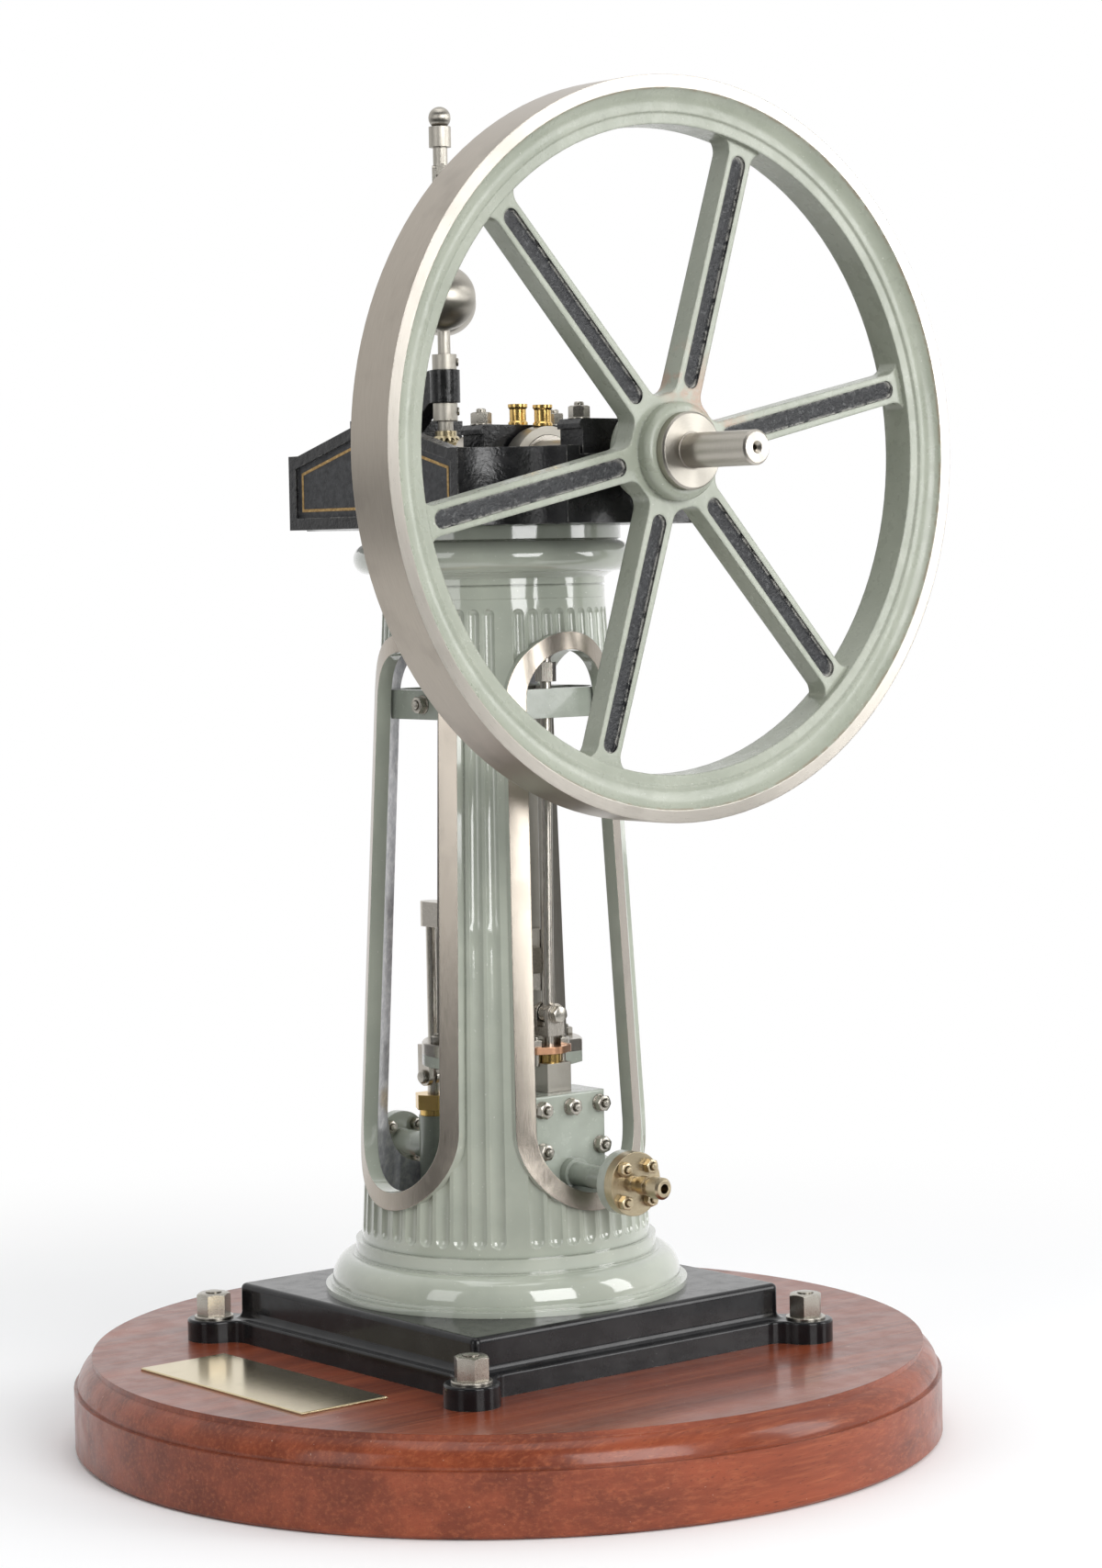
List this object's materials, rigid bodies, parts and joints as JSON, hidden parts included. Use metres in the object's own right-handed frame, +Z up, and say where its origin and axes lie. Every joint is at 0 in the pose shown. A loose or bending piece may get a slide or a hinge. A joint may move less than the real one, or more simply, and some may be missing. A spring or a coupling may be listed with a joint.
{
  "type": "stationary steam engine",
  "caption": "Vertical column steam engine model with an open fluted column, cylinder inside it, gabled entablature, crankshaft, spoked flywheel and fly-ball governor, on a round plinth.",
  "frame": {"origin": "centre of the plinth's flat underside", "axes": "+Z up along the column, crankshaft along Y with the flywheel towards -Y, gables at both X ends"},
  "size_m": [0.238, 0.238, 0.364],
  "materials": {
    "mahogany": "satin varnish",
    "black_casting": "gloss black over a cast surface",
    "green_paint": "gloss grey-green paint",
    "steel": "turned and polished",
    "brass": "turned",
    "bronze": "turned, tarnished"
  },
  "bodies": {
    "engine_frame": {"plinth": "mahogany", "base_plate": "black_casting", "column_foot": "green_paint", "column_shaft": "green_paint", "column_cap": "green_paint", "entablature": "black_casting", "front_bearing_cap": "black_casting", "inner_bearing_cap": "black_casting", "rear_bearing_cap": "black_casting", "inner_oil_cup": "brass", "cylinder": "green_paint", "cylinder_cover": "steel", "steam_chest": "green_paint", "steam_chest_cover": "green_paint", "stuffing_box": "steel", "valve_gland": "bronze", "valve_spindle": "steel", "steam_inlet": "green_paint", "inlet_union": "bronze", "feed_pump": "green_paint", "pump_gland_nut": "brass", "pump_plunger": "steel", "pump_rod": "steel", "guide_frame": "green_paint", "left_front_guide_bar": "steel", "left_rear_guide_bar": "steel", "right_front_guide_bar": "steel", "right_rear_guide_bar": "steel", "piston_rod": "steel", "crosshead": "steel", "connecting_rod": "steel", "governor_bracket": "black_casting"},
    "crank_group": {"crankshaft": "steel", "big_end": "brass", "flywheel": "green_paint", "shaft_collar": "steel", "valve_eccentric": "steel", "bevel_wheel": "brass"},
    "valve_rod": {"eccentric_strap": "steel", "strap_oil_cup": "brass", "eccentric_rod": "steel"},
    "governor_shaft": {"governor_spindle": "steel", "bevel_pinion": "brass"},
    "near_arm": {"near_governor_arm": "steel"},
    "far_arm": {"far_governor_arm": "steel"}
  },
  "joints": [
    {"name": "crank_turn", "type": "hinge", "parent": "engine_frame", "child": "crank_group", "pos_m": [0, 0, 0.2663], "axis": [0, 1, 0], "continuous": true},
    {"name": "valve_rod_swing", "type": "hinge", "parent": "crank_group", "child": "valve_rod", "pos_m": [0.00184, -0.0204, 0.26298], "axis": [0, 1, 0], "continuous": true},
    {"name": "governor_turn", "type": "hinge", "parent": "engine_frame", "child": "governor_shaft", "pos_m": [0, 0.0197, 0.2663], "axis": [0, 0, 1], "continuous": true},
    {"name": "near_arm_swing", "type": "hinge", "parent": "governor_shaft", "child": "near_arm", "pos_m": [-0.00211, 0.01704, 0.3465], "axis": [-0.7837, 0.6211, 0], "range_deg": [0, 32]},
    {"name": "far_arm_swing", "type": "hinge", "parent": "governor_shaft", "child": "far_arm", "pos_m": [0.00211, 0.02236, 0.3465], "axis": [0.7837, -0.6211, 0], "range_deg": [0, 32]}
  ],
  "couplings": [
    {"joint": "valve_rod_swing", "follows": "crank_turn", "ratio": -1},
    {"joint": "governor_turn", "follows": "crank_turn", "ratio": 1.5},
    {"joint": "far_arm_swing", "follows": "near_arm_swing", "ratio": 1}
  ]
}
